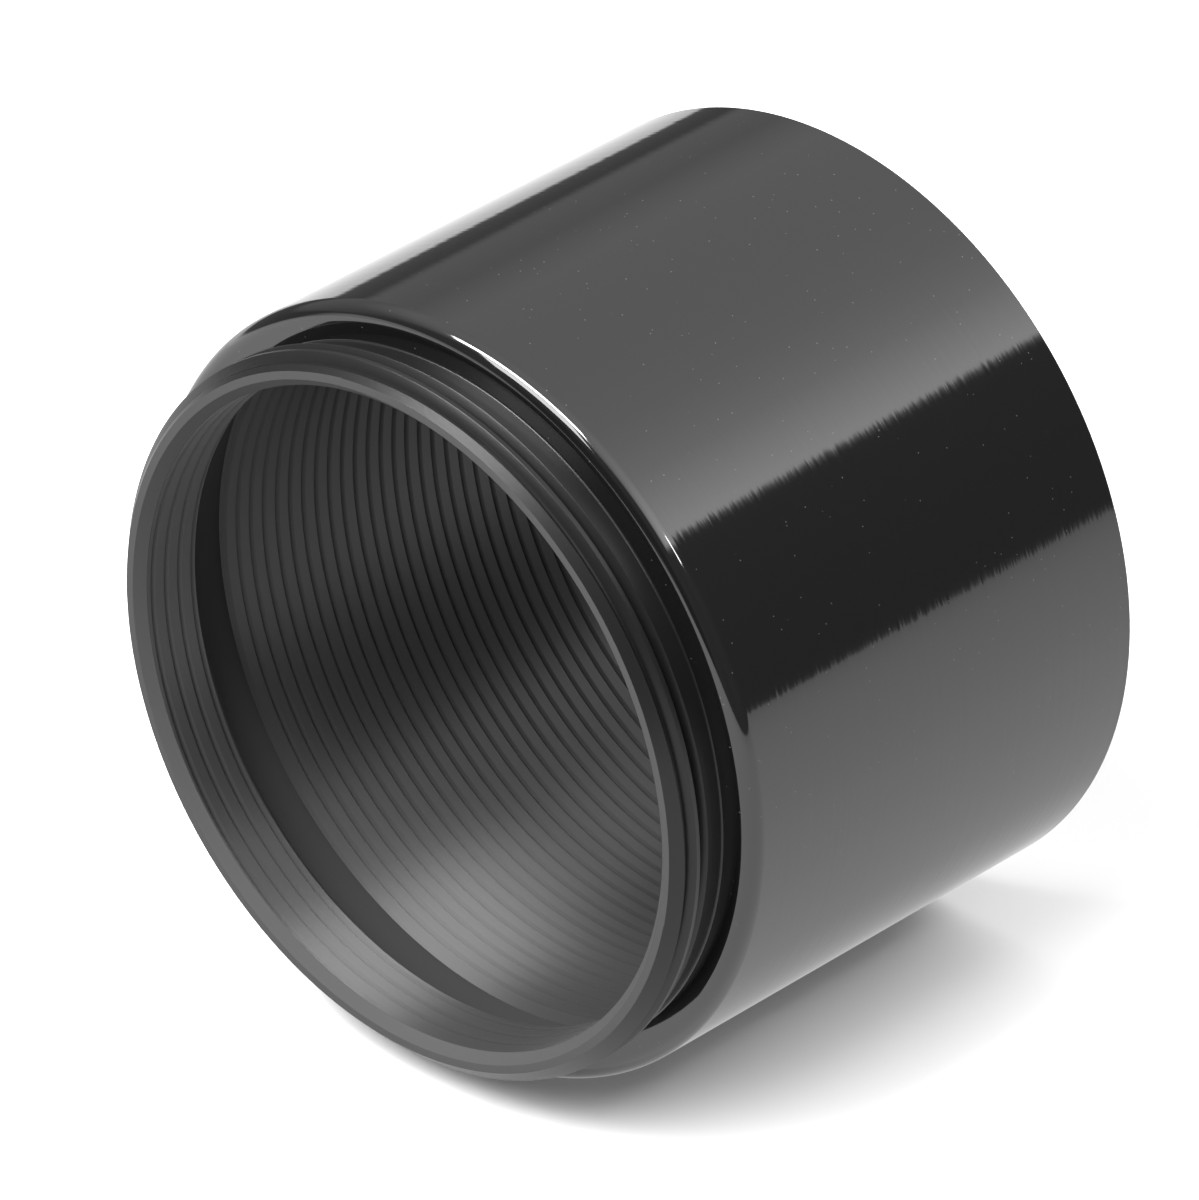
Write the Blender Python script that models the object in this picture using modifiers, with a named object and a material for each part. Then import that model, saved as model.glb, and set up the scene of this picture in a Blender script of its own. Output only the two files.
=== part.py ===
# Lens tube: one turned aluminium tube with a gloss lacquered body, a short
# threaded collar at the front and a grooved bore that stops stray light.
# Metres, +Z up. The tube stands on its rear end, with the collar on top.

import math

import bmesh
import bpy

# The tube's outside
BODY_LENGTH = 0.02955           # rear end to the shoulder's inner corner
BODY_WALL = 0.00133             # left outside the undercut
SHOULDER_FALL = 0.00042         # the shoulder is a shallow cone, lower at its outer edge
SHOULDER_CHAMFER_WIDTH = 0.00087
SHOULDER_CHAMFER_HEIGHT = 0.00056
SHOULDER_EDGE_RADIUS = 0.0007   # soft round from the chamfer into the body
REAR_EDGE_BREAK = 0.00015

# The front collar and the thread on its outside
COLLAR_LENGTH = 0.00385         # shoulder to the front face
THREAD_PITCH = 0.001
MALE_THREAD_DIAMETER = 0.0415   # over the crests
MALE_THREAD_LENGTH = 0.0022     # from the front face to where the relief starts
MALE_GROOVE_DEPTH = 0.0005
MALE_CREST_FLAT = 0.00017
MALE_BEVEL = 0.00076            # lead-in at 45 degrees on the thread's first crest
RELIEF_DEPTH = 0.00058          # below the male crests, so deeper than the grooves
RELIEF_TAPER = 0.0003
RELIEF_FILLET = 0.0002

# The thread in the collar's own bore
COLLAR_WALL = 0.00175           # male crests to the bore's crests
COLLAR_BORE_DEPTH = 0.0042      # front face to the rear edge of the collar's bore
COLLAR_MOUTH_DEPTH = 0.00068    # the chamfer and a plain stretch, before the thread starts
COLLAR_MOUTH_CLEARANCE = 0.00004
COLLAR_MOUTH_CHAMFER_WIDTH = 0.00048
COLLAR_MOUTH_CHAMFER_DEPTH = 0.00057

# The bore behind the collar, which opens from the collar's rear land at 45 degrees
COLLAR_REAR_LAND = 0.0004       # flat rear end of the collar's bore
UNDERCUT_CLEARANCE = 0.00017    # outside the crests of a male thread screwed in
UNDERCUT_LENGTH = 0.0037        # rear end of the collar's bore to the end of the undercut
UNDERCUT_FILLET = 0.0003
BORE_CREST_OVERLAP = 0.00015    # how far its crests reach inside male crests
BORE_MOUTH_CHAMFER = 0.00045
INNER_GROOVE_DEPTH = 0.0003     # in both bores

# Where the middle of each thread's groove crosses the plane y = 0, behind the front face
MALE_GROOVE_OFFSET = 0.00092
COLLAR_GROOVE_OFFSET = 0.00049
BORE_GROOVE_OFFSET = 0.00051

FLANK_HALF_ANGLE_DEG = 30.0
TURNING_STOCK = 0.0002          # left on the section where a thread is cut from it
TOOL_OVERRUN = 0.0002           # how far a cutter runs on past the metal
SLIVER_SIZE = 0.000002          # corners closer than this are one
SEGMENTS_AROUND = 44
FILLET_STEPS = 3

# What follows from the sizes above
FRONT_Z = BODY_LENGTH + COLLAR_LENGTH
THREAD_R = MALE_THREAD_DIAMETER / 2
RELIEF_R = THREAD_R - RELIEF_DEPTH
COLLAR_BORE_R = THREAD_R - COLLAR_WALL
BORE_R = THREAD_R - BORE_CREST_OVERLAP
UNDERCUT_R = THREAD_R + UNDERCUT_CLEARANCE
BODY_R = UNDERCUT_R + BODY_WALL
SHOULDER_R = BODY_R - SHOULDER_CHAMFER_WIDTH
SHOULDER_Z = BODY_LENGTH - SHOULDER_FALL
STEP_Z = FRONT_Z - COLLAR_BORE_DEPTH
UNDERCUT_END_Z = STEP_Z - UNDERCUT_LENGTH
THREAD_END_Z = FRONT_Z - MALE_THREAD_LENGTH
MOUTH_Z = FRONT_Z - COLLAR_MOUTH_DEPTH
MOUTH_R = COLLAR_BORE_R + COLLAR_MOUTH_CLEARANCE

TUBE_COLOUR = (0.012, 0.012, 0.013, 1.0)
TUBE_ROUGHNESS = 0.25
TUBE_METALLIC = 0.0


def clear_scene():
    for old in list(bpy.data.objects):
        bpy.data.objects.remove(old, do_unlink=True)


def facing_deg(width, height):
    """How far above the horizontal a cone faces, from its width and height."""
    return math.degrees(math.atan2(width, height))


def setback(radius, turn_deg):
    """How far from a sharp corner a round that turns by turn_deg starts."""
    return radius * math.tan(math.radians(turn_deg / 2))


def round_corner(centre_r, centre_z, radius, start_deg, end_deg):
    """Points of a round corner in the section, from one angle to another."""
    points = []
    for step in range(FILLET_STEPS + 1):
        angle = math.radians(start_deg + (end_deg - start_deg) * step / FILLET_STEPS)
        points.append((centre_r + radius * math.cos(angle), centre_z + radius * math.sin(angle)))
    return points


def collar_outside():
    """The front ring, the stock for the thread and the relief down to the shoulder."""
    shoulder_deg = facing_deg(SHOULDER_R - RELIEF_R, SHOULDER_FALL)
    fillet_z = BODY_LENGTH + setback(RELIEF_FILLET, shoulder_deg)
    outline = [
        (THREAD_R - MALE_BEVEL, FRONT_Z),
        (THREAD_R + TURNING_STOCK, FRONT_Z - MALE_BEVEL - TURNING_STOCK),
        (THREAD_R + TURNING_STOCK, THREAD_END_Z),
        (THREAD_R, THREAD_END_Z),
        (RELIEF_R, THREAD_END_Z - RELIEF_TAPER),
    ]
    outline += round_corner(
        RELIEF_R + RELIEF_FILLET, fillet_z, RELIEF_FILLET, 180, 180 + shoulder_deg
    )
    return outline


def body_outside():
    """The shoulder's edge and chamfer, the plain outside and the rear edge break."""
    chamfer_deg = facing_deg(SHOULDER_CHAMFER_WIDTH, SHOULDER_CHAMFER_HEIGHT)
    corner_z = SHOULDER_Z - SHOULDER_CHAMFER_HEIGHT
    edge_z = corner_z - setback(SHOULDER_EDGE_RADIUS, chamfer_deg)
    outline = [(SHOULDER_R, SHOULDER_Z)]
    outline += round_corner(
        BODY_R - SHOULDER_EDGE_RADIUS, edge_z, SHOULDER_EDGE_RADIUS, chamfer_deg, 0
    )
    outline += [
        (BODY_R, REAR_EDGE_BREAK),
        (BODY_R - REAR_EDGE_BREAK, 0.0),
    ]
    return outline


def inside():
    """The bore from its rear mouth up to the undercut, then the collar's bore."""
    bore_stock_r = BORE_R - TURNING_STOCK
    collar_stock_r = COLLAR_BORE_R - TURNING_STOCK
    land_r = COLLAR_BORE_R + COLLAR_REAR_LAND
    cone_end_z = STEP_Z - (UNDERCUT_R - land_r) - setback(UNDERCUT_FILLET, 45)
    outline = [
        (BORE_R + BORE_MOUTH_CHAMFER, 0.0),
        (bore_stock_r, BORE_MOUTH_CHAMFER + TURNING_STOCK),
        (bore_stock_r, UNDERCUT_END_Z - (UNDERCUT_R - bore_stock_r)),
        (UNDERCUT_R, UNDERCUT_END_Z),
    ]
    outline += round_corner(
        UNDERCUT_R - UNDERCUT_FILLET, cone_end_z, UNDERCUT_FILLET, 0, 45
    )
    outline += [
        (land_r, STEP_Z),
        (collar_stock_r, STEP_Z),
        (collar_stock_r, MOUTH_Z),
        (MOUTH_R, MOUTH_Z),
        (MOUTH_R, FRONT_Z - COLLAR_MOUTH_CHAMFER_DEPTH),
        (MOUTH_R + COLLAR_MOUTH_CHAMFER_WIDTH, FRONT_Z),
    ]
    return outline


def outline_object(name, outline, closed, collection):
    """An outline in the plane y = 0, ready to be turned about Z."""
    mesh = bpy.data.meshes.new(name)
    vertices = [(r, 0.0, z) for r, z in outline]
    edges = [(i, i + 1) for i in range(len(outline) - 1)]
    if closed:
        edges.append((len(outline) - 1, 0))
    mesh.from_pydata(vertices, edges, [])
    shape = bpy.data.objects.new(name, mesh)
    collection.objects.link(shape)
    return shape


def turn(shape, rise_per_turn=0.0, turns=1):
    """Turns an outline about Z: a ring, or a coil where it rises."""
    screw = shape.modifiers.new("turn", "SCREW")
    screw.axis = "Z"
    screw.angle = math.tau
    screw.screw_offset = rise_per_turn
    screw.iterations = turns
    screw.steps = SEGMENTS_AROUND
    screw.render_steps = SEGMENTS_AROUND
    screw.use_merge_vertices = rise_per_turn == 0.0
    screw.merge_threshold = 0.00001
    screw.use_smooth_shade = False


def threaded_rod(name, groove_r, ridge_r, groove_flat, ridge_flat, low_z, high_z, groove_z):
    """A solid rod with a right-hand thread, cut square at low_z and high_z.

    One pitch of its side is turned up about Z from below low_z to above high_z,
    with the middle of a groove at groove_z where it crosses the plane y = 0.
    """
    flank_rise = (THREAD_PITCH - groove_flat - ridge_flat) / 2
    side = [(groove_r, THREAD_PITCH / 2 - groove_flat / 2), (ridge_r, ridge_flat / 2)]
    if ridge_flat > 0.0:
        side.append((ridge_r, -ridge_flat / 2))
    side += [(groove_r, -ridge_flat / 2 - flank_rise), (groove_r, -THREAD_PITCH / 2 - groove_flat / 2)]
    turns_below = math.ceil((groove_z - low_z) / THREAD_PITCH) + 1
    turns_above = math.ceil((high_z - groove_z) / THREAD_PITCH) + 1
    first_ridge_z = groove_z - (turns_below - 0.5) * THREAD_PITCH
    coil = outline_object(name + "_side", [(r, z + first_ridge_z) for r, z in side], False, cutters)
    turn(coil, THREAD_PITCH, turns_below + turns_above)
    mesh = bpy.data.meshes.new_from_object(coil.evaluated_get(bpy.context.evaluated_depsgraph_get()))
    mesh.name = name
    bpy.data.objects.remove(coil, do_unlink=True)

    solid = bmesh.new()
    solid.from_mesh(mesh)
    bmesh.ops.remove_doubles(solid, verts=solid.verts, dist=0.000001)
    for end_z, outward in ((low_z, -1.0), (high_z, 1.0)):
        bmesh.ops.bisect_plane(
            solid, geom=solid.verts[:] + solid.edges[:] + solid.faces[:], dist=0.0000001,
            plane_co=(0.0, 0.0, end_z), plane_no=(0.0, 0.0, outward), clear_outer=True,
        )
        rim = [edge for edge in solid.edges if edge.is_boundary and
               all(abs(vert.co.z - end_z) < 0.000001 for vert in edge.verts)]
        bmesh.ops.holes_fill(solid, edges=rim, sides=0)
    bmesh.ops.recalc_face_normals(solid, faces=solid.faces)
    solid.to_mesh(mesh)
    solid.free()
    rod = bpy.data.objects.new(name, mesh)
    cutters.objects.link(rod)
    return rod


def thread_die(rod, low_z, high_z):
    """A ring whose bore is the rod's thread, to cut that thread on the outside."""
    outline = [
        (THREAD_R + 2 * TURNING_STOCK, high_z),
        (THREAD_R + 2 * TURNING_STOCK, low_z),
        (COLLAR_BORE_R, low_z),
        (COLLAR_BORE_R, high_z),
    ]
    die = outline_object("male_thread_die", outline, True, cutters)
    turn(die)
    cut(die, rod)
    return die


def cut(part, cutter):
    """Takes the cutter away from the part, and leaves the cutter out of renders."""
    cutter.hide_render = True
    cutter.display_type = "WIRE"
    removal = part.modifiers.new(cutter.name, "BOOLEAN")
    removal.operation = "DIFFERENCE"
    removal.solver = "EXACT"
    removal.object = cutter


def tube_material():
    material = bpy.data.materials.new("black_lacquer")
    material.use_nodes = True
    shader = material.node_tree.nodes["Principled BSDF"]
    shader.inputs["Base Color"].default_value = TUBE_COLOUR
    shader.inputs["Roughness"].default_value = TUBE_ROUGHNESS
    shader.inputs["Metallic"].default_value = TUBE_METALLIC
    return material


clear_scene()
parts = bpy.data.collections.new("lens_tube_parts")
cutters = bpy.data.collections.new("thread_cutters")
bpy.context.scene.collection.children.link(parts)
bpy.context.scene.collection.children.link(cutters)

tube = outline_object("lens_tube", collar_outside() + body_outside() + inside(), True, parts)
turn(tube)
tube.data.materials.append(tube_material())

# What a groove and its two flanks leave of one pitch is the ridge between grooves
flank_spread = 2 * math.tan(math.radians(FLANK_HALF_ANGLE_DEG))
male_groove_flat = THREAD_PITCH - MALE_CREST_FLAT - MALE_GROOVE_DEPTH * flank_spread
inner_crest_flat = THREAD_PITCH - INNER_GROOVE_DEPTH * flank_spread

# The outside thread is cut down to its crests by a die, over the relief's empty space
die_low_z = THREAD_END_Z - RELIEF_TAPER - TOOL_OVERRUN
die_high_z = FRONT_Z + TOOL_OVERRUN
male_rod = threaded_rod(
    "male_thread", THREAD_R - MALE_GROOVE_DEPTH, THREAD_R, male_groove_flat, MALE_CREST_FLAT,
    die_low_z - TOOL_OVERRUN, die_high_z + TOOL_OVERRUN, FRONT_Z - MALE_GROOVE_OFFSET,
)
cut(tube, thread_die(male_rod, die_low_z, die_high_z))

# The inside threads: a rod's ridges are the grooves that it leaves in the metal
cut(tube, threaded_rod(
    "collar_bore_thread", COLLAR_BORE_R, COLLAR_BORE_R + INNER_GROOVE_DEPTH,
    inner_crest_flat, 0.0,
    STEP_Z - TOOL_OVERRUN, MOUTH_Z + SLIVER_SIZE,
    FRONT_Z - COLLAR_GROOVE_OFFSET - THREAD_PITCH / 2,
))
cut(tube, threaded_rod(
    "bore_thread", BORE_R, BORE_R + INNER_GROOVE_DEPTH, inner_crest_flat, 0.0,
    -TOOL_OVERRUN, UNDERCUT_END_Z + TOOL_OVERRUN,
    FRONT_Z - BORE_GROOVE_OFFSET - THREAD_PITCH / 2,
))

slivers = tube.modifiers.new("slivers", "WELD")
slivers.merge_threshold = SLIVER_SIZE
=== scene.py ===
# Looks of the lens tube: one turned aluminium tube, gloss lacquered outside,
# matt black on its threaded collar and in its threaded bore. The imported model
# is the fixed frame, and everything here is in its metres, +Z from rear to front.

import math

import bmesh
import bpy
from mathutils import Matrix, Vector


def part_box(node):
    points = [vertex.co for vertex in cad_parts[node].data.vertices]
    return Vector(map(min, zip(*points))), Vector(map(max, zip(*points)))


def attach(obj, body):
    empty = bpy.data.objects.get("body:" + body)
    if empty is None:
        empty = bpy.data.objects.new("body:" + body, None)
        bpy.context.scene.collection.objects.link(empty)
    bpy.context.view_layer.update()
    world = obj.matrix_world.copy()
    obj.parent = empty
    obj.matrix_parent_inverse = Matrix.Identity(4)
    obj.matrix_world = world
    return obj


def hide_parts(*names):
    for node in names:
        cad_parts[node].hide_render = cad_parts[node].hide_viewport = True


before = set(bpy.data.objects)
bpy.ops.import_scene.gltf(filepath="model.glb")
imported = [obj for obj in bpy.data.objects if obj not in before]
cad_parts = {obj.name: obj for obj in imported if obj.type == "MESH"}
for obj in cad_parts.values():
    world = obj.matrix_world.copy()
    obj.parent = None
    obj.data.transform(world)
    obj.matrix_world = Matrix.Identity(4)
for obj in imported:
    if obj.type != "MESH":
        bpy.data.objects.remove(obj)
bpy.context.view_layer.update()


# The tube's plain turned surfaces: outside, shoulder, undercut and front ring. One
# bar of aluminium, turned all over. Each stretch is an outline in the plane y = 0,
# turned about Z, with one large round at the shoulder and small ones elsewhere.
MM = 0.001
STEPS_AROUND = 320
ARC_STEPS = 12
WELD = 0.2e-6

tube_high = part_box("lens_tube")[1]
BODY_R = tube_high[0]
FRONT_Z = tube_high[2]
SHOULDER_Z = FRONT_Z - 3.85 * MM
SHOULDER_ROUND = 0.97 * MM
REAR_BREAK = 0.15 * MM

MALE_R = 20.75 * MM
MALE_END_Z = FRONT_Z - 2.5 * MM
BEVEL = 0.76 * MM
RELIEF_R = 20.17 * MM
RELIEF_FILLET = 0.15 * MM

COLLAR_R = 19.0 * MM
COLLAR_STEP_Z = FRONT_Z - 4.2 * MM
COLLAR_LAND_R = 19.4 * MM
MOUTH_Z = FRONT_Z - 0.58 * MM
MOUTH_LIP = 0.03 * MM
RING_R = 19.52 * MM
RING_EDGE = 0.02 * MM

BORE_R = 20.6 * MM
BORE_MOUTH = 0.45 * MM
UNDERCUT_R = 20.92 * MM
UNDERCUT_END_Z = COLLAR_STEP_Z - 3.7 * MM
UNDERCUT_FILLET = 0.3 * MM

# The finishes by their numbers on the tube's faces. Each is coated further down.
FINISHES = ("black_lacquer", "turned_black", "plain_black", "satin_black", "undercut_painted_shade")
LACQUER, TURNED_BLACK, PLAIN_BLACK, SATIN_BLACK, SHADED_UNDERCUT_BLACK = range(len(FINISHES))
finishes = [bpy.data.materials.new(name) for name in FINISHES]


def rounded(points, radii):
    """An open outline of (r, z) points with each inner corner made round."""
    outline = [points[0]]
    for before, corner, after, radius in zip(points, points[1:], points[2:], radii):
        corner_v = Vector(corner)
        back = (Vector(before) - corner_v).normalized()
        ahead = (Vector(after) - corner_v).normalized()
        half = back.angle(ahead) / 2
        setback = radius / math.tan(half)
        centre = corner_v + (back + ahead).normalized() * (radius / math.sin(half))
        start = corner_v + back * setback - centre
        sweep = start.angle_signed(corner_v + ahead * setback - centre)
        for step in range(ARC_STEPS + 1):
            turned = start.copy()
            turned.rotate(Matrix.Rotation(-sweep * step / ARC_STEPS, 2))
            outline.append(tuple(centre + turned))
    outline.append(points[-1])
    return outline


def plain_mesh(source, finish):
    """The evaluated mesh of an object, which is then removed."""
    depsgraph = bpy.context.evaluated_depsgraph_get()
    mesh = bpy.data.meshes.new_from_object(source.evaluated_get(depsgraph))
    bpy.data.objects.remove(source, do_unlink=True)
    for face in mesh.polygons:
        face.material_index = finish
    return mesh


def turned_stretch(name, outline, finish):
    """A stretch of the section turned a full circle about Z, with its finish's number."""
    mesh = bpy.data.meshes.new(name)
    edges = [(i, i + 1) for i in range(len(outline) - 1)]
    mesh.from_pydata([(r, 0.0, z) for r, z in outline], edges, [])
    stretch = bpy.data.objects.new(name, mesh)
    bpy.context.scene.collection.objects.link(stretch)
    screw = stretch.modifiers.new("turn", "SCREW")
    screw.axis = "Z"
    screw.steps = STEPS_AROUND
    screw.render_steps = STEPS_AROUND
    screw.use_merge_vertices = True
    screw.merge_threshold = WELD
    return plain_mesh(stretch, finish)


outside = rounded(
    [
        (RELIEF_R, MALE_END_Z),
        (RELIEF_R, SHOULDER_Z),
        (BODY_R, SHOULDER_Z),
        (BODY_R, 0.0),
        (BORE_R + BORE_MOUTH, 0.0),
    ],
    [RELIEF_FILLET, SHOULDER_ROUND, REAR_BREAK],
)
undercut = rounded(
    [
        (UNDERCUT_R, UNDERCUT_END_Z),
        (UNDERCUT_R, COLLAR_STEP_Z - UNDERCUT_R + COLLAR_LAND_R),
        (COLLAR_LAND_R, COLLAR_STEP_Z),
    ],
    [UNDERCUT_FILLET],
)
front_ring = rounded(
    [
        (COLLAR_R, MOUTH_Z),
        (COLLAR_R, MOUTH_Z + MOUTH_LIP),
        (RING_R, FRONT_Z),
        (MALE_R - BEVEL, FRONT_Z),
    ],
    [MOUTH_LIP, RING_EDGE],
)
# The undercut's black is painted shade for its recess behind the collar.
stretches = [
    turned_stretch("outside", outside, LACQUER),
    turned_stretch("undercut", undercut, SHADED_UNDERCUT_BLACK),
    turned_stretch("front_ring", front_ring, PLAIN_BLACK),
]


# The three threads, all right-handed with a pitch of 1 mm: M42 on the collar and
# in the bore behind it, M39 in the collar. Each is cut by one pointed tool that
# runs up the tube, so one tree sweeps one pitch of the section along the helix.
PITCH = 1.0 * MM
FLANK = math.tan(math.radians(30))

# A groove is its depth, the width of its floor and the width of its broken edges.
OUTSIDE_GROOVE = (0.5 * MM, 0.14 * MM, 0.04 * MM)
INSIDE_GROOVE = (0.27 * MM, 0.0, 0.06 * MM)

# Each thread's groove crosses the half plane y = 0, x > 0 at one of these heights.
MALE_GROOVE_Z = FRONT_Z - 0.92 * MM
COLLAR_GROOVE_Z = FRONT_Z - 2.49 * MM
BORE_GROOVE_Z = FRONT_Z - 10.51 * MM

MALE_TAPER = 0.3 * MM
COLLAR_STEP_LIP = 0.04 * MM
COLLAR_LAST_TURN = 1.73
COLLAR_RUNOUT_TURNS = 0.08
NO_LAST_TURN = 1000.0


def math_node(tree, operation, *terms, clamp=False):
    """One sum in a node tree, of terms that are numbers or other nodes' outputs."""
    node = tree.nodes.new("ShaderNodeMath")
    node.operation = operation
    node.use_clamp = clamp
    for place, term in enumerate(terms):
        if isinstance(term, (int, float)):
            node.inputs[place].default_value = term
        else:
            tree.links.new(term, node.inputs[place])
    return node.outputs[0]


def thread_tree():
    """A sheet of rows that rise with the helix, rolled into a threaded wall.

    The object's own mesh is one pitch of the section: x is the place along the
    axis, y the depth into the metal.
    """
    tree = bpy.data.node_groups.new("cut_thread", "GeometryNodeTree")
    sockets = tree.interface
    sockets.new_socket("Geometry", in_out="INPUT", socket_type="NodeSocketGeometry")
    sockets.new_socket("Geometry", in_out="OUTPUT", socket_type="NodeSocketGeometry")
    for name in ("Rows", "Rows per Pitch", "First Turn"):
        sockets.new_socket(name, in_out="INPUT", socket_type="NodeSocketInt")
    for name in (
        "Groove Z", "Low Z", "High Z", "Crest Radius", "Into Metal", "Low Cone Depth",
        "Low Cone Height", "High Cone Depth", "High Cone Height", "Last Turn",
        "Run-out Turns", "Low Rim Radius", "Groove Depth", "Groove Floor",
    ):
        sockets.new_socket(name, in_out="INPUT", socket_type="NodeSocketFloat")
    given = tree.nodes.new("NodeGroupInput").outputs

    def calc(operation, *terms, clamp=False):
        return math_node(tree, operation, *terms, clamp=clamp)

    # Points are numbered up each column in turn, and half a step keeps FLOOR exact
    grid = tree.nodes.new("GeometryNodeMeshGrid")
    grid.inputs["Vertices X"].default_value = STEPS_AROUND + 1
    tree.links.new(given["Rows"], grid.inputs["Vertices Y"])
    index = tree.nodes.new("GeometryNodeInputIndex").outputs[0]
    column = calc("FLOOR", calc("DIVIDE", calc("ADD", index, 0.5), given["Rows"]))
    row = calc("SUBTRACT", index, calc("MULTIPLY", column, given["Rows"]))
    lap = calc("FLOOR", calc("DIVIDE", calc("ADD", row, 0.5), given["Rows per Pitch"]))
    place = calc("SUBTRACT", row, calc("MULTIPLY", lap, given["Rows per Pitch"]))

    own_place = tree.nodes.new("GeometryNodeInputPosition")
    section = tree.nodes.new("GeometryNodeSampleIndex")
    section.data_type = "FLOAT_VECTOR"
    tree.links.new(given["Geometry"], section.inputs["Geometry"])
    tree.links.new(own_place.outputs[0], section.inputs["Value"])
    tree.links.new(place, section.inputs["Index"])
    split = tree.nodes.new("ShaderNodeSeparateXYZ")
    tree.links.new(section.outputs[0], split.inputs[0])

    around = calc("DIVIDE", column, STEPS_AROUND)
    turns = calc("ADD", calc("ADD", lap, given["First Turn"]), around)
    helix_z = calc("ADD", calc("MULTIPLY", turns, PITCH), given["Groove Z"])
    height = calc("ADD", helix_z, split.outputs["X"])
    cut_off = calc("LESS_THAN", height, given["Low Z"])
    height = calc("MINIMUM", calc("MAXIMUM", height, given["Low Z"]), given["High Z"])

    # A row below the low end takes the depth that the groove has where it leaves the metal
    low_rise = calc("DIVIDE", calc("SUBTRACT", given["Low Z"], given["Groove Z"]), PITCH)
    low_turns = calc("SUBTRACT", low_rise, around)
    off_groove = calc("ABSOLUTE", calc("SUBTRACT", low_turns, calc("ROUND", low_turns)))
    half_floor = calc("MULTIPLY", given["Groove Floor"], 0.5)
    from_floor = calc("SUBTRACT", calc("MULTIPLY", off_groove, PITCH), half_floor)
    end_depth = calc("SUBTRACT", given["Groove Depth"], calc("DIVIDE", from_floor, FLANK))
    end_depth = calc("MINIMUM", calc("MAXIMUM", end_depth, 0), given["Groove Depth"])
    section_depth = calc("MULTIPLY", split.outputs["Y"], calc("SUBTRACT", 1, cut_off))
    section_depth = calc("ADD", section_depth, calc("MULTIPLY", end_depth, cut_off))
    turns_left = calc("SUBTRACT", given["Last Turn"], turns)
    faded = calc("DIVIDE", turns_left, given["Run-out Turns"], clamp=True)
    depth = calc("MULTIPLY", section_depth, calc("SQRT", faded))

    # The cone at either end cuts the crests down, and the deeper of the cuts is kept
    low_reach = calc("SUBTRACT", height, given["Low Z"])
    low_share = calc("DIVIDE", low_reach, given["Low Cone Height"])
    low_cone = calc("MULTIPLY", given["Low Cone Depth"], calc("SUBTRACT", 1, low_share))
    high_reach = calc("SUBTRACT", given["High Z"], height)
    high_share = calc("DIVIDE", high_reach, given["High Cone Height"])
    high_cone = calc("MULTIPLY", given["High Cone Depth"], calc("SUBTRACT", 1, high_share))
    depth = calc("MAXIMUM", depth, calc("MAXIMUM", low_cone, high_cone))
    radius = calc("ADD", given["Crest Radius"], calc("MULTIPLY", depth, given["Into Metal"]))

    # The lowest row of all lies on the rim of the next stretch
    first_row = calc("LESS_THAN", row, 0.5)
    cut_radius = calc("MULTIPLY", radius, calc("SUBTRACT", 1, first_row))
    rim_radius = calc("MULTIPLY", given["Low Rim Radius"], first_row)
    radius = calc("ADD", cut_radius, rim_radius)
    angle = calc("MULTIPLY", around, math.tau)
    position = tree.nodes.new("ShaderNodeCombineXYZ")
    tree.links.new(calc("MULTIPLY", radius, calc("COSINE", angle)), position.inputs["X"])
    tree.links.new(calc("MULTIPLY", radius, calc("SINE", angle)), position.inputs["Y"])
    tree.links.new(height, position.inputs["Z"])
    placed = tree.nodes.new("GeometryNodeSetPosition")
    tree.links.new(grid.outputs["Mesh"], placed.inputs["Geometry"])
    tree.links.new(position.outputs[0], placed.inputs["Position"])
    merged = tree.nodes.new("GeometryNodeMergeByDistance")
    merged.inputs["Distance"].default_value = WELD
    tree.links.new(placed.outputs[0], merged.inputs["Geometry"])
    real = tree.nodes.new("GeometryNodeRealizeInstances")
    tree.links.new(merged.outputs[0], real.inputs[0])
    finish = tree.nodes.new("GeometryNodeSetMaterial")
    finish.inputs["Material"].default_value = finishes[TURNED_BLACK]
    tree.links.new(real.outputs[0], finish.inputs["Geometry"])
    out = tree.nodes.new("NodeGroupOutput")
    tree.links.new(finish.outputs[0], out.inputs[0])
    return tree


def socket_id(tree, name):
    """The identifier by which a modifier knows a tree's named input."""
    return next(item.identifier for item in tree.interface.items_tree if item.name == name)


def pitch_section(depth, floor_flat, edge_flat):
    """One pitch of a thread's section, with its edges broken by a small flat."""
    mouth = floor_flat / 2 + depth * FLANK
    half = [
        (mouth + edge_flat / 2, 0.0),
        (mouth - edge_flat / 2, edge_flat / 2 / FLANK),
        (max(floor_flat / 2, edge_flat / 2), depth - max(edge_flat - floor_flat, 0.0) / 2),
    ]
    return [(-x, y) for x, y in half] + [(x, y) for x, y in reversed(half)]


def threaded_wall(name, groove, sizes, last_turn=NO_LAST_TURN, runout_turns=1.0):
    """A threaded stretch, whose spare laps past both ends are pressed onto its rims."""
    depth, floor_flat, edge_flat = groove
    section = pitch_section(depth, floor_flat, edge_flat)
    mesh = bpy.data.meshes.new(name)
    mesh.from_pydata([(x, y, 0.0) for x, y in section], [], [])
    wall = bpy.data.objects.new(name, mesh)
    bpy.context.scene.collection.objects.link(wall)
    tree = bpy.data.node_groups.get("cut_thread") or thread_tree()
    # One lap is spare below the low end, and two are above the high end
    first_turn = math.floor((sizes["Low Z"] - sizes["Groove Z"]) / PITCH) - 1
    laps = math.ceil((sizes["High Z"] - sizes["Low Z"]) / PITCH) + 3
    values = dict(sizes)
    values["Groove Depth"] = depth
    values["Groove Floor"] = floor_flat
    values["Rows"] = laps * len(section)
    values["Rows per Pitch"] = len(section)
    values["First Turn"] = first_turn
    values["Last Turn"] = last_turn
    values["Run-out Turns"] = runout_turns
    cut = wall.modifiers.new("thread", "NODES")
    cut.node_group = tree
    for key, value in values.items():
        cut[socket_id(tree, key)] = value
    return plain_mesh(wall, TURNED_BLACK)


male_thread = {
    "Groove Z": MALE_GROOVE_Z, "Low Z": MALE_END_Z, "High Z": FRONT_Z,
    "Crest Radius": MALE_R, "Into Metal": -1.0,
    "Low Cone Depth": MALE_R - RELIEF_R, "Low Cone Height": MALE_TAPER,
    "High Cone Depth": BEVEL, "High Cone Height": BEVEL,
    "Low Rim Radius": RELIEF_R,
}
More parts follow.
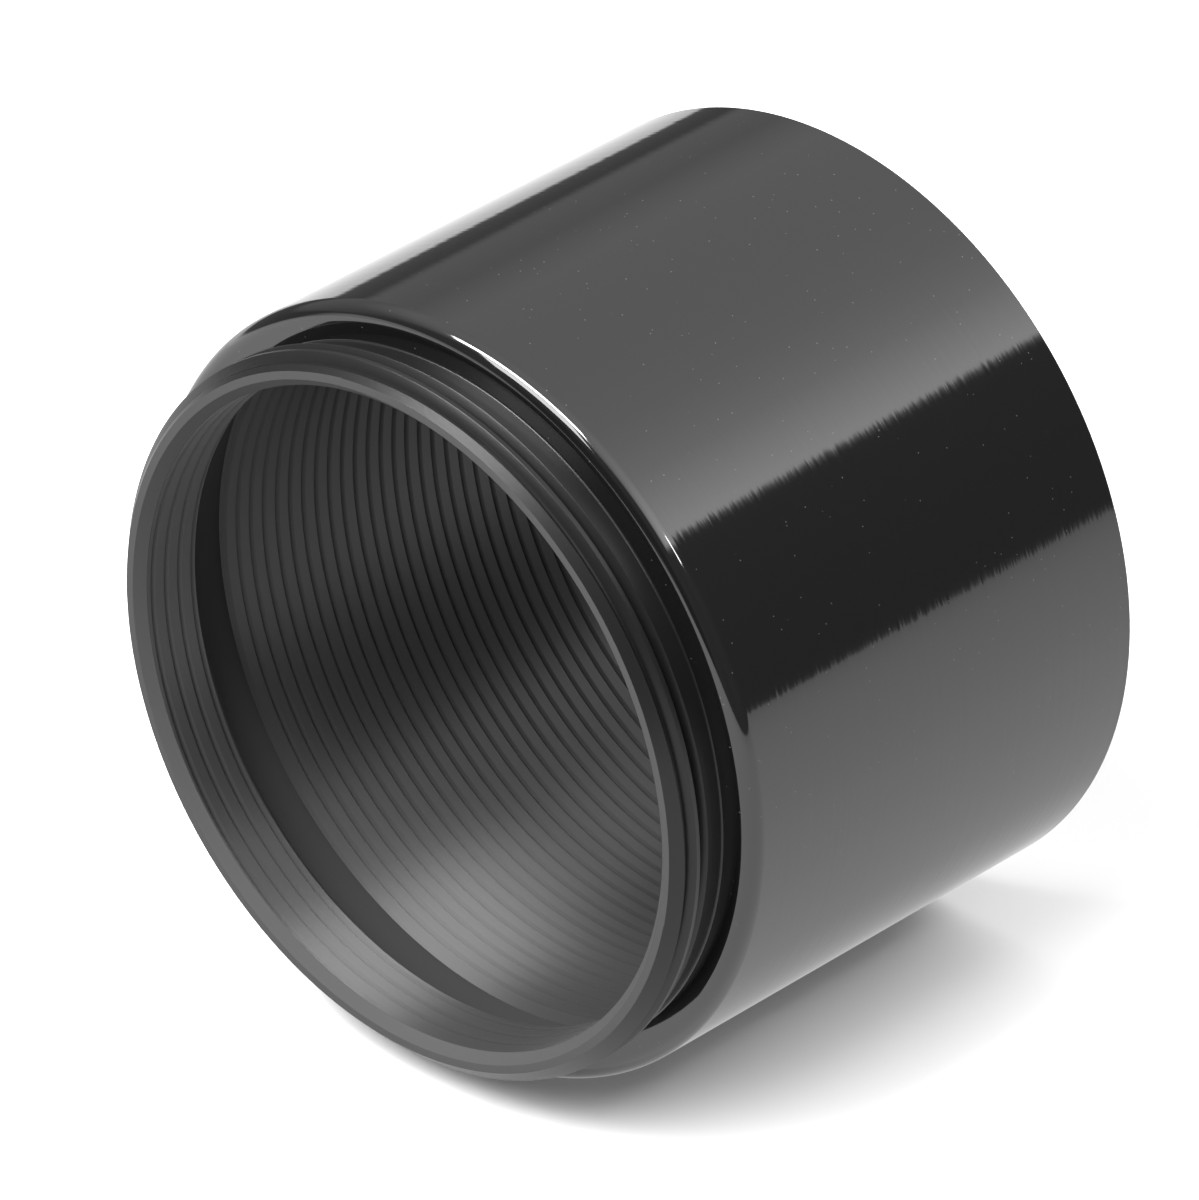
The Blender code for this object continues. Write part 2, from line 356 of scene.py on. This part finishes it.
# The collar's mouth has no cone, so the height of that cone has no effect.
collar_thread = {
    "Groove Z": COLLAR_GROOVE_Z, "Low Z": COLLAR_STEP_Z, "High Z": MOUTH_Z,
    "Crest Radius": COLLAR_R, "Into Metal": 1.0,
    "Low Cone Depth": COLLAR_STEP_LIP, "Low Cone Height": COLLAR_STEP_LIP,
    "High Cone Depth": 0.0, "High Cone Height": PITCH,
    "Low Rim Radius": COLLAR_LAND_R,
}
bore_thread = {
    "Groove Z": BORE_GROOVE_Z, "Low Z": 0.0, "High Z": UNDERCUT_END_Z,
    "Crest Radius": BORE_R, "Into Metal": 1.0,
    "Low Cone Depth": BORE_MOUTH, "Low Cone Height": BORE_MOUTH,
    "High Cone Depth": UNDERCUT_R - BORE_R, "High Cone Height": UNDERCUT_R - BORE_R,
    "Low Rim Radius": BORE_R + BORE_MOUTH,
}
stretches.append(threaded_wall("male_thread", OUTSIDE_GROOVE, male_thread))
stretches.append(threaded_wall(
    "collar_bore_thread", INSIDE_GROOVE, collar_thread,
    last_turn=COLLAR_LAST_TURN, runout_turns=COLLAR_RUNOUT_TURNS,
))
stretches.append(threaded_wall("bore_thread", INSIDE_GROOVE, bore_thread))


# The finished tube: all the stretches closed into one watertight wall, with a
# lengthwise map that the turning marks of its matt surfaces follow. The thread,
# its bevel and the relief, all outside and ahead of the shoulder, are satin.
SHARP_EDGE = math.radians(24)
BORDER = 0.01 * MM

# A face whose normal leans further along Z than this is an end face.
END_FACE = 0.7


def close_tube(meshes):
    """One welded mesh of all the stretches, with the map named turning."""
    tube = bmesh.new()
    for mesh in meshes:
        tube.from_mesh(mesh)
        bpy.data.meshes.remove(mesh)
    bmesh.ops.remove_doubles(tube, verts=tube.verts, dist=WELD)
    bmesh.ops.dissolve_degenerate(tube, edges=tube.edges, dist=WELD / 4)
    bmesh.ops.recalc_face_normals(tube, faces=tube.faces)
    turning = tube.loops.layers.uv.new("turning")
    for face in tube.faces:
        middle = face.calc_center_median()
        middle_turn = math.atan2(middle.y, middle.x) / math.tau
        lengthwise = abs(face.normal.z) < END_FACE
        for loop in face.loops:
            co = loop.vert.co
            turn = math.atan2(co.y, co.x) / math.tau
            turn += round(middle_turn - turn)
            along = co.z if lengthwise else math.hypot(co.x, co.y)
            loop[turning].uv = (along / BODY_R, turn)
    return tube


joined = close_tube(stretches)
tube_mesh = bpy.data.meshes.new("lens_tube_turned")
joined.to_mesh(tube_mesh)
joined.free()
tube_mesh.shade_smooth()
tube_mesh.set_sharp_from_angle(angle=SHARP_EDGE)
for finish in finishes:
    tube_mesh.materials.append(finish)
for face in tube_mesh.polygons:
    outer = math.hypot(face.center.x, face.center.y) > MALE_R - BEVEL + BORDER
    if outer and SHOULDER_Z + 2 * BORDER < face.center.z < FRONT_Z - BORDER:
        face.material_index = SATIN_BLACK
tube = bpy.data.objects.new("lens_tube_turned", tube_mesh)
bpy.context.scene.collection.objects.link(tube)
level_lands = tube.modifiers.new("level_lands", "WEIGHTED_NORMAL")
level_lands.keep_sharp = True
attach(tube, "root")
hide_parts("lens_tube")


# Gloss black lacquer, sprayed on the body and the shoulder over turned metal. The
# turning marks show through as faint rings that make the edges of reflections
# comb, over a slight orange peel, with a few specks of dust set in it.
LACQUER_LEVEL = 0.0045
RING_DEPTH = 0.0065 * MM
PEEL_DEPTH = 0.0010 * MM
DUST_LEVEL = 0.06
DUST_CELLS = 1440.0

# A speck fades in between these distances from the middle of its cell, in cells.
DUST_EDGE = (0.071, 0.047)


def grey(level):
    return (level, level, level, 1.0)


def coated(material, values):
    """A finish's node tree and its shader, once the shader's named inputs are set."""
    material.use_nodes = True
    shader = material.node_tree.nodes["Principled BSDF"]
    for name, value in values.items():
        shader.inputs[name].default_value = value
    return material.node_tree, shader


def noise_height(tree, scale, stretch, detail):
    """Noise over Object coordinates, squeezed along the axis by stretch."""
    place = tree.nodes.new("ShaderNodeTexCoord")
    squeeze = tree.nodes.new("ShaderNodeMapping")
    squeeze.inputs["Scale"].default_value = (1.0, 1.0, stretch)
    noise = tree.nodes.new("ShaderNodeTexNoise")
    noise.inputs["Scale"].default_value = scale
    noise.inputs["Detail"].default_value = detail
    tree.links.new(place.outputs["Object"], squeeze.inputs["Vector"])
    tree.links.new(squeeze.outputs[0], noise.inputs["Vector"])
    return noise.outputs["Fac"]


def add_bump(tree, height, distance, after=None):
    """A bump of a real height, over an earlier bump where one is given."""
    bump = tree.nodes.new("ShaderNodeBump")
    bump.inputs["Strength"].default_value = 1.0
    bump.inputs["Distance"].default_value = distance
    tree.links.new(height, bump.inputs["Height"])
    if after:
        tree.links.new(after, bump.inputs["Normal"])
    return bump.outputs[0]


def map_range(tree, value, source, target=(0.0, 1.0)):
    """A value carried from one range of numbers to another, held at its ends."""
    node = tree.nodes.new("ShaderNodeMapRange")
    node.inputs["From Min"].default_value = source[0]
    node.inputs["From Max"].default_value = source[1]
    node.inputs["To Min"].default_value = target[0]
    node.inputs["To Max"].default_value = target[1]
    tree.links.new(value, node.inputs["Value"])
    return node.outputs[0]


def dusty_colour(tree, plain, speck):
    """A plain level with a few pale specks, each a tenth of a millimetre across."""
    place = tree.nodes.new("ShaderNodeTexCoord")
    cells = tree.nodes.new("ShaderNodeTexVoronoi")
    cells.inputs["Scale"].default_value = DUST_CELLS
    tree.links.new(place.outputs["Object"], cells.inputs["Vector"])
    colour = tree.nodes.new("ShaderNodeMix")
    colour.data_type = "RGBA"
    colour.inputs["A"].default_value = grey(plain)
    colour.inputs["B"].default_value = grey(speck)
    specks = map_range(tree, cells.outputs["Distance"], DUST_EDGE)
    tree.links.new(specks, colour.inputs["Factor"])
    return colour.outputs["Result"]


tree, shader = coated(finishes[LACQUER], {"Roughness": 0.06, "IOR": 1.7})
ring_noise = noise_height(tree, scale=70.0, stretch=34.0, detail=2.0)
peel_noise = noise_height(tree, scale=900.0, stretch=1.0, detail=2.0)
rings = add_bump(tree, ring_noise, RING_DEPTH)
peel = add_bump(tree, peel_noise, PEEL_DEPTH, rings)
tree.links.new(peel, shader.inputs["Normal"])
tree.links.new(dusty_colour(tree, LACQUER_LEVEL, DUST_LEVEL), shader.inputs["Base Color"])


# The matt blacks of the collar and the bore, over turned metal. On the threaded
# walls the marks run round the axis and stretch the highlights, so their shader
# follows the map named turning. The other blacks have no direction of their own.
TURNED_GRAIN = 0.006 * MM
SATIN_GRAIN = 0.004 * MM

tree, shader = coated(finishes[TURNED_BLACK], {
    "Base Color": grey(0.027), "Roughness": 0.6, "Anisotropic": 1.0, "IOR": 1.8,
})
tangent = tree.nodes.new("ShaderNodeTangent")
tangent.direction_type = "UV_MAP"
tangent.uv_map = "turning"
tree.links.new(tangent.outputs[0], shader.inputs["Tangent"])
grain_noise = noise_height(tree, scale=5000.0, stretch=1.0, detail=1.0)
grain = add_bump(tree, grain_noise, TURNED_GRAIN)
tree.links.new(grain, shader.inputs["Normal"])

# The outside thread, its bevel and the relief are lacquered more thinly, to a satin.
tree, shader = coated(finishes[SATIN_BLACK], {
    "Base Color": grey(0.006), "Roughness": 0.32, "IOR": 1.4,
})
grain_noise = noise_height(tree, scale=6000.0, stretch=1.0, detail=2.0)
grain = add_bump(tree, grain_noise, SATIN_GRAIN)
tree.links.new(grain, shader.inputs["Normal"])

# The narrow ring on the very front has a plain matt black.
coated(finishes[PLAIN_BLACK], {
    "Base Color": grey(0.048), "Roughness": 0.7, "Specular IOR Level": 0.2,
})

# The undercut behind the collar has a darker, flatter black. It is painted shade, standing
# in for the shade that the collar casts into this recess.
coated(finishes[SHADED_UNDERCUT_BLACK], {
    "Base Color": grey(0.024), "Roughness": 0.7, "Specular IOR Level": 0.2,
})


# The floor that the photographed tube lies on, seen in the tube's own frame: it
# is the plane that touches the tube's flank at -Y. It is white paper, shows from
# above only, and glows evenly where the tube mirrors it.
FLOOR_FROM_X = -0.243
FLOOR_TO_X = 0.6
FLOOR_HALF = 0.6
FLOOR_GAP = 0.02 * MM
FLOOR_Y = -BODY_R - FLOOR_GAP
PAPER_TO_TUBE = 0.25
PAPER_TO_CAMERA = 0.9
GLOW_TO_TUBE = 0.6
GLOW_TO_CAMERA = 0.08

floor_corners = [
    (FLOOR_FROM_X, FLOOR_Y, -FLOOR_HALF),
    (FLOOR_FROM_X, FLOOR_Y, FLOOR_HALF),
    (FLOOR_TO_X, FLOOR_Y, FLOOR_HALF),
    (FLOOR_TO_X, FLOOR_Y, -FLOOR_HALF),
]
floor_mesh = bpy.data.meshes.new("studio_floor")
floor_mesh.from_pydata(floor_corners, [], [(0, 1, 2, 3)])
floor = bpy.data.objects.new("studio_floor", floor_mesh)
bpy.context.scene.collection.objects.link(floor)
paper = bpy.data.materials.new("white_paper")
tree, shader = coated(paper, {
    "Roughness": 0.9, "Specular IOR Level": 0.0, "Emission Color": grey(1.0),
})
seen = tree.nodes.new("ShaderNodeLightPath")
shade = tree.nodes.new("ShaderNodeMix")
shade.data_type = "RGBA"
shade.inputs["A"].default_value = grey(PAPER_TO_TUBE)
shade.inputs["B"].default_value = grey(PAPER_TO_CAMERA)
tree.links.new(seen.outputs["Is Camera Ray"], shade.inputs["Factor"])
tree.links.new(shade.outputs["Result"], shader.inputs["Base Color"])
glow = tree.nodes.new("ShaderNodeMix")
glow.inputs["A"].default_value = GLOW_TO_TUBE
glow.inputs["B"].default_value = GLOW_TO_CAMERA
tree.links.new(seen.outputs["Is Camera Ray"], glow.inputs["Factor"])
tree.links.new(glow.outputs["Result"], shader.inputs["Emission Strength"])
side = tree.nodes.new("ShaderNodeNewGeometry")
clear = tree.nodes.new("ShaderNodeBsdfTransparent")
one_sided = tree.nodes.new("ShaderNodeMixShader")
tree.links.new(side.outputs["Backfacing"], one_sided.inputs["Fac"])
tree.links.new(shader.outputs[0], one_sided.inputs[1])
tree.links.new(clear.outputs[0], one_sided.inputs[2])
tree.links.new(one_sided.outputs[0], tree.nodes["Material Output"].inputs["Surface"])
floor_mesh.materials.append(paper)


# The studio light: a white tent all round the tube, dark where the camera and its
# stand are, four lamps over the tube as it lay, and a white backdrop. The tent has
# a level for each azimuth, in degrees, multiplied by one for each elevation.
TENT = (
    (-4.0, 1.1), (-2.6, 0.13), (49.0, 0.13), (50.5, 2.85), (55.0, 2.5), (61.0, 2.1),
    (69.0, 1.6), (77.0, 1.35), (85.0, 1.17), (101.0, 1.0), (121.0, 0.85), (141.0, 0.7),
    (157.0, 0.38), (172.0, 0.33), (176.0, 0.12), (187.0, 0.15), (189.0, 1.3),
)
UPPER_TENT = ((-4.0, 1.2), (-2.6, 0.15), (176.0, 0.15), (182.0, 1.2))
BY_ELEVATION = (
    (-40.0, 1.0), (-25.0, 1.1), (-8.0, 1.3), (10.0, 1.3), (30.0, 1.0), (58.0, 1.0),
    (66.0, 0.15), (84.0, 0.15), (87.0, 0.8),
)
FULL_LEVEL = 3.0
QUARTER_TURN = 0.25
UPPER_BLEND = (math.radians(30.0), math.radians(40.0))
LEAN_HEIGHTS = (math.radians(-42.7), math.radians(-34.7))
LEAN = math.radians(2.4)


def direction(azimuth, elevation):
    """A unit vector, with azimuth from +X towards +Y and elevation towards +Z."""
    flat = math.cos(math.radians(elevation))
    return Vector((
        flat * math.cos(math.radians(azimuth)),
        flat * math.sin(math.radians(azimuth)),
        math.sin(math.radians(elevation)),
    ))


def level_ramp(tree, along, levels, span, zero):
    """Levels by angle, on a ramp as long as span with the angle 0 at the place zero."""
    ramp = tree.nodes.new("ShaderNodeValToRGB")
    stops = ramp.color_ramp.elements
    for place, (angle, level) in enumerate(levels):
        at = angle / span + zero
        stop = stops[place] if place < 2 else stops.new(at)
        stop.position = at
        stop.color = grey(level / FULL_LEVEL)
    tree.links.new(along, ramp.inputs[0])
    return ramp.outputs[0]


def area_lamp(name, width, height, watts, azimuth, elevation, distance):
    """A rectangular lamp that faces the tube and doesn't show in the picture."""
    lamp_data = bpy.data.lights.new(name, "AREA")
    lamp_data.shape = "RECTANGLE"
    lamp_data.size = width
    lamp_data.size_y = height
    lamp_data.energy = watts
    lamp = bpy.data.objects.new(name, lamp_data)
    bpy.context.scene.collection.objects.link(lamp)
    way = direction(azimuth, elevation)
    lamp.location = way * distance
    lamp.rotation_euler = way.to_track_quat("Z", "Y").to_euler()
    lamp.visible_camera = False
    return lamp


world = bpy.data.worlds.new("studio")
bpy.context.scene.world = world
world.use_nodes = True
tree = world.node_tree
look = tree.nodes.new("ShaderNodeTexCoord")
split = tree.nodes.new("ShaderNodeSeparateXYZ")
tree.links.new(look.outputs["Generated"], split.inputs[0])
heading = math_node(tree, "ARCTAN2", split.outputs["Y"], split.outputs["X"])
rise = math_node(tree, "ARCSINE", split.outputs["Z"])

# The tent's edges lean a little at these heights, as the photo's reflections do
lean = map_range(tree, rise, LEAN_HEIGHTS, (-LEAN, LEAN))
turn = math_node(tree, "DIVIDE", math_node(tree, "ADD", heading, lean), math.tau)
wrapped = math_node(tree, "FRACT", math_node(tree, "ADD", turn, QUARTER_TURN))
tent = level_ramp(tree, wrapped, TENT, 360, QUARTER_TURN)
upper_tent = level_ramp(tree, wrapped, UPPER_TENT, 360, QUARTER_TURN)
above = map_range(tree, rise, UPPER_BLEND)
tent_colour = tree.nodes.new("ShaderNodeMix")
tent_colour.data_type = "RGBA"
tree.links.new(above, tent_colour.inputs["Factor"])
tree.links.new(tent, tent_colour.inputs["A"])
tree.links.new(upper_tent, tent_colour.inputs["B"])

height_share = map_range(tree, rise, (-math.pi / 2, math.pi / 2))
storeys = level_ramp(tree, height_share, BY_ELEVATION, 180, 0.5)
strength = math_node(tree, "MULTIPLY", storeys, FULL_LEVEL * FULL_LEVEL)
studio = tree.nodes["Background"]
tree.links.new(tent_colour.outputs["Result"], studio.inputs["Color"])
tree.links.new(strength, studio.inputs["Strength"])
backdrop = tree.nodes.new("ShaderNodeBackground")
backdrop.inputs["Color"].default_value = grey(1.0)
rays = tree.nodes.new("ShaderNodeLightPath")
seen = tree.nodes.new("ShaderNodeMixShader")
tree.links.new(rays.outputs["Is Camera Ray"], seen.inputs["Fac"])
tree.links.new(studio.outputs[0], seen.inputs[1])
tree.links.new(backdrop.outputs[0], seen.inputs[2])
tree.links.new(seen.outputs[0], tree.nodes["World Output"].inputs["Surface"])

# A strip lights the bore, and a fill that the lacquer doesn't mirror evens the floor
area_lamp(
    "softbox", width=0.44, height=0.10, watts=5.0,
    azimuth=105.0, elevation=27.0, distance=0.6,
)
floor_fill = area_lamp(
    "floor_fill", width=0.60, height=0.60, watts=10.5,
    azimuth=86.0, elevation=42.0, distance=1.0,
)
floor_fill.visible_glossy = False

# A weaker panel stands above the strip, and a small lamp glints on the shoulder's edge
area_lamp(
    "upper_panel", width=0.30, height=0.16, watts=1.5,
    azimuth=105.0, elevation=42.0, distance=0.6,
)
area_lamp(
    "glint", width=0.08, height=0.04, watts=0.25,
    azimuth=46.0, elevation=0.0, distance=0.6,
)


# The camera stands where the photograph's stood, worked out in the tube's frame,
# so it is rolled: the tube lay on its side there and stands on its rear end here.
CAMERA_PLACE = Vector((0.394117, 0.346592, 0.430431))
CAMERA_RIGHT = Vector((0.7232587, 0.0, -0.6905772))
CAMERA_DOWN = Vector((0.3578651, -0.8552525, 0.374801))
CAMERA_AHEAD = Vector((-0.5906179, -0.5182115, -0.6185688))

camera_data = bpy.data.cameras.new("photo_camera")
camera_data.lens = 375.17
camera_data.sensor_width = 36.0
camera_data.clip_start = 0.05
camera_data.clip_end = 5.0
camera = bpy.data.objects.new("photo_camera", camera_data)
bpy.context.scene.collection.objects.link(camera)
camera.matrix_world = Matrix.Translation(CAMERA_PLACE) @ Matrix(
    (CAMERA_RIGHT, -CAMERA_DOWN, -CAMERA_AHEAD)
).transposed().to_4x4()
bpy.context.scene.camera = camera

bpy.context.scene.view_settings.view_transform = "Standard"
